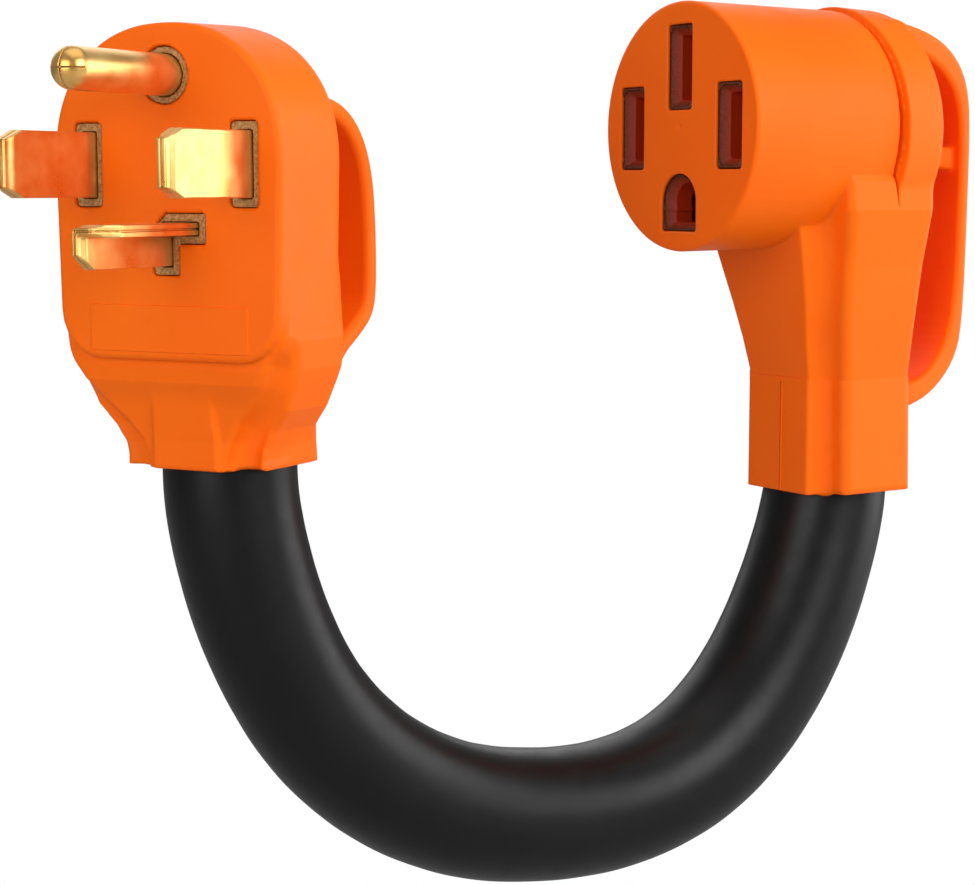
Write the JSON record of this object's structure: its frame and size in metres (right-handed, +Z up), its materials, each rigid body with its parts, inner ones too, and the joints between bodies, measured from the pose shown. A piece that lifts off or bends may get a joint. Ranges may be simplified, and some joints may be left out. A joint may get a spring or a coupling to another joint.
{
  "type": "power adapter cord",
  "caption": "Short power adapter cord: angle plug and angle receptacle with grip loops on a thick rubber cord.",
  "frame": {"origin": "centre of the plug's face, on the line through its two hot blades", "axes": "+Z up, +X from the receptacle's face back into the receptacle, the cord hangs in a plane parallel to XZ, and the plug faces -X turned 31 degrees towards -Y"},
  "size_m": [0.2237, 0.0661, 0.1834],
  "materials": {
    "orange_moulding": "satin moulded flexible plastic",
    "brown_insulator": "moulded insulator",
    "blade_brass": "drawn and folded, lightly brushed",
    "contact_brass": "stamped sheet",
    "spring_steel": "stamped spring steel",
    "cord_rubber": "smooth satin",
    "cord_filler": "twisted jute",
    "wire_black": "smooth",
    "wire_red": "smooth",
    "wire_white": "smooth",
    "wire_green": "smooth",
    "copper_strands": "bare copper strands"
  },
  "bodies": {
    "root": {"plug_body": "orange_moulding", "plug_blade_holder": "brown_insulator", "plug_blade_hot_x": "blade_brass", "plug_blade_hot_y": "blade_brass", "plug_blade_neutral": "blade_brass", "plug_pin_ground": "blade_brass", "socket_body": "orange_moulding", "socket_contact_carrier": "brown_insulator", "socket_carrier_cap": "brown_insulator", "socket_contact_hot_x": "contact_brass", "socket_contact_hot_y": "contact_brass", "socket_contact_neutral": "contact_brass", "socket_contact_ground": "contact_brass", "socket_clip_hot_x": "spring_steel", "socket_clip_hot_y": "spring_steel", "socket_clip_neutral": "spring_steel", "socket_clip_ground": "spring_steel", "cord_jacket": "cord_rubber", "cord_filler": "cord_filler", "wire_insulation_hot_x": "wire_black", "wire_insulation_hot_y": "wire_red", "wire_insulation_neutral": "wire_white", "wire_insulation_ground": "wire_green", "wire_strands_hot_x": "copper_strands", "wire_strands_hot_y": "copper_strands", "wire_strands_neutral": "copper_strands", "wire_strands_ground": "copper_strands"}
  },
  "joints": []
}
